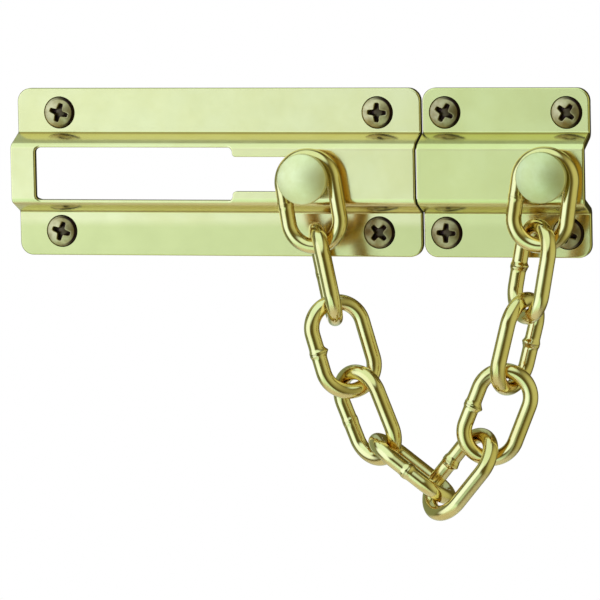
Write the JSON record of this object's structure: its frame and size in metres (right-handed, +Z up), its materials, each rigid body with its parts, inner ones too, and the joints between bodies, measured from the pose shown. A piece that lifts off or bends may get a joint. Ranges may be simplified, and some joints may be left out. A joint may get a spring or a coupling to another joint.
{
  "type": "chain door guard",
  "caption": "Polished brass chain door guard: a slotted channel track and a short keeper plate joined by a hanging welded chain, with a domed slide stud that rides in the track's slot.",
  "frame": {"origin": "middle of the track plate's four screws, on the plane of the plates' backs", "axes": "+X along the track towards the keeper, +Y into the door behind the plates, +Z up"},
  "size_m": [0.1339, 0.0366, 0.0957],
  "materials": {
    "brass_plate": "bright brass plate on formed steel strip",
    "brass_stud": "polished turned brass",
    "brass_wire": "bright brass plate on welded wire",
    "brass_screw": "brass plate, darker in the recess"
  },
  "bodies": {
    "plates": {"track_plate": "brass_plate", "keeper_plate": "brass_plate", "keeper_stud": "brass_stud", "keeper_washer": "brass_stud", "track_screws": "brass_screw", "keeper_screws": "brass_screw"},
    "slide": {"slide_stud": "brass_stud", "slide_foot": "brass_stud"},
    "link_01": {"chain_link_01": "brass_wire"},
    "link_02": {"chain_link_02": "brass_wire"},
    "link_03": {"chain_link_03": "brass_wire"},
    "link_04": {"chain_link_04": "brass_wire"},
    "link_05": {"chain_link_05": "brass_wire"},
    "link_06": {"chain_link_06": "brass_wire"},
    "link_07": {"chain_link_07": "brass_wire"},
    "link_08": {"chain_link_08": "brass_wire"},
    "link_09": {"chain_link_09": "brass_wire"},
    "link_10": {"chain_link_10": "brass_wire"}
  },
  "joints": [
    {"name": "stud_slide", "type": "slide", "parent": "plates", "child": "slide", "axis": [-1, 0, 0], "range_m": [0, 0.058]},
    {"name": "link_01_swing", "type": "hinge", "parent": "slide", "child": "link_01", "pos_m": [0.0235, -0.0105, -0.0005], "axis": [0, -1, 0], "range_deg": [0, 22.5]},
    {"name": "link_02_swing", "type": "hinge", "parent": "link_01", "child": "link_02", "pos_m": [0.02562, -0.01036, -0.01396], "axis": [0, -1, 0], "range_deg": [0, 4.5]},
    {"name": "link_03_swing", "type": "hinge", "parent": "link_02", "child": "link_03", "pos_m": [0.02883, -0.01016, -0.0303], "axis": [0, -1, 0], "range_deg": [0, 5.6]},
    {"name": "link_04_swing", "type": "hinge", "parent": "link_03", "child": "link_04", "pos_m": [0.03333, -0.00981, -0.04616], "axis": [0, -1, 0], "range_deg": [0, 4.3]},
    {"name": "link_05_swing", "type": "hinge", "parent": "link_04", "child": "link_05", "pos_m": [0.03964, -0.0101, -0.06107], "axis": [0, -1, 0], "range_deg": [-10.9, 0]},
    {"name": "link_10_swing", "type": "hinge", "parent": "plates", "child": "link_10", "pos_m": [0.0784, -0.0105, 0], "axis": [0, 1, 0], "range_deg": [0, 21.8]},
    {"name": "link_09_swing", "type": "hinge", "parent": "link_10", "child": "link_09", "pos_m": [0.07645, -0.01064, -0.01319], "axis": [0, 1, 0], "range_deg": [0, 4.3]},
    {"name": "link_08_swing", "type": "hinge", "parent": "link_09", "child": "link_08", "pos_m": [0.07351, -0.01081, -0.02924], "axis": [0, 1, 0], "range_deg": [0, 5.5]},
    {"name": "link_07_swing", "type": "hinge", "parent": "link_08", "child": "link_07", "pos_m": [0.06948, -0.01111, -0.0453], "axis": [0, 1, 0], "range_deg": [0, 5.4]},
    {"name": "link_06_swing", "type": "hinge", "parent": "link_07", "child": "link_06", "pos_m": [0.0632, -0.01157, -0.06025], "axis": [0, 1, 0], "range_deg": [-6.1, 0]}
  ],
  "couplings": [
    {"joint": "link_01_swing", "follows": "stud_slide", "rad_per_m": 6.7375},
    {"joint": "link_02_swing", "follows": "stud_slide", "rad_per_m": 1.3193},
    {"joint": "link_03_swing", "follows": "stud_slide", "rad_per_m": 1.634},
    {"joint": "link_04_swing", "follows": "stud_slide", "rad_per_m": 1.2527},
    {"joint": "link_05_swing", "follows": "stud_slide", "rad_per_m": -3.233},
    {"joint": "link_10_swing", "follows": "stud_slide", "rad_per_m": 6.5062},
    {"joint": "link_09_swing", "follows": "stud_slide", "rad_per_m": 1.2544},
    {"joint": "link_08_swing", "follows": "stud_slide", "rad_per_m": 1.6059},
    {"joint": "link_07_swing", "follows": "stud_slide", "rad_per_m": 1.5924},
    {"joint": "link_06_swing", "follows": "stud_slide", "rad_per_m": -1.7865}
  ]
}
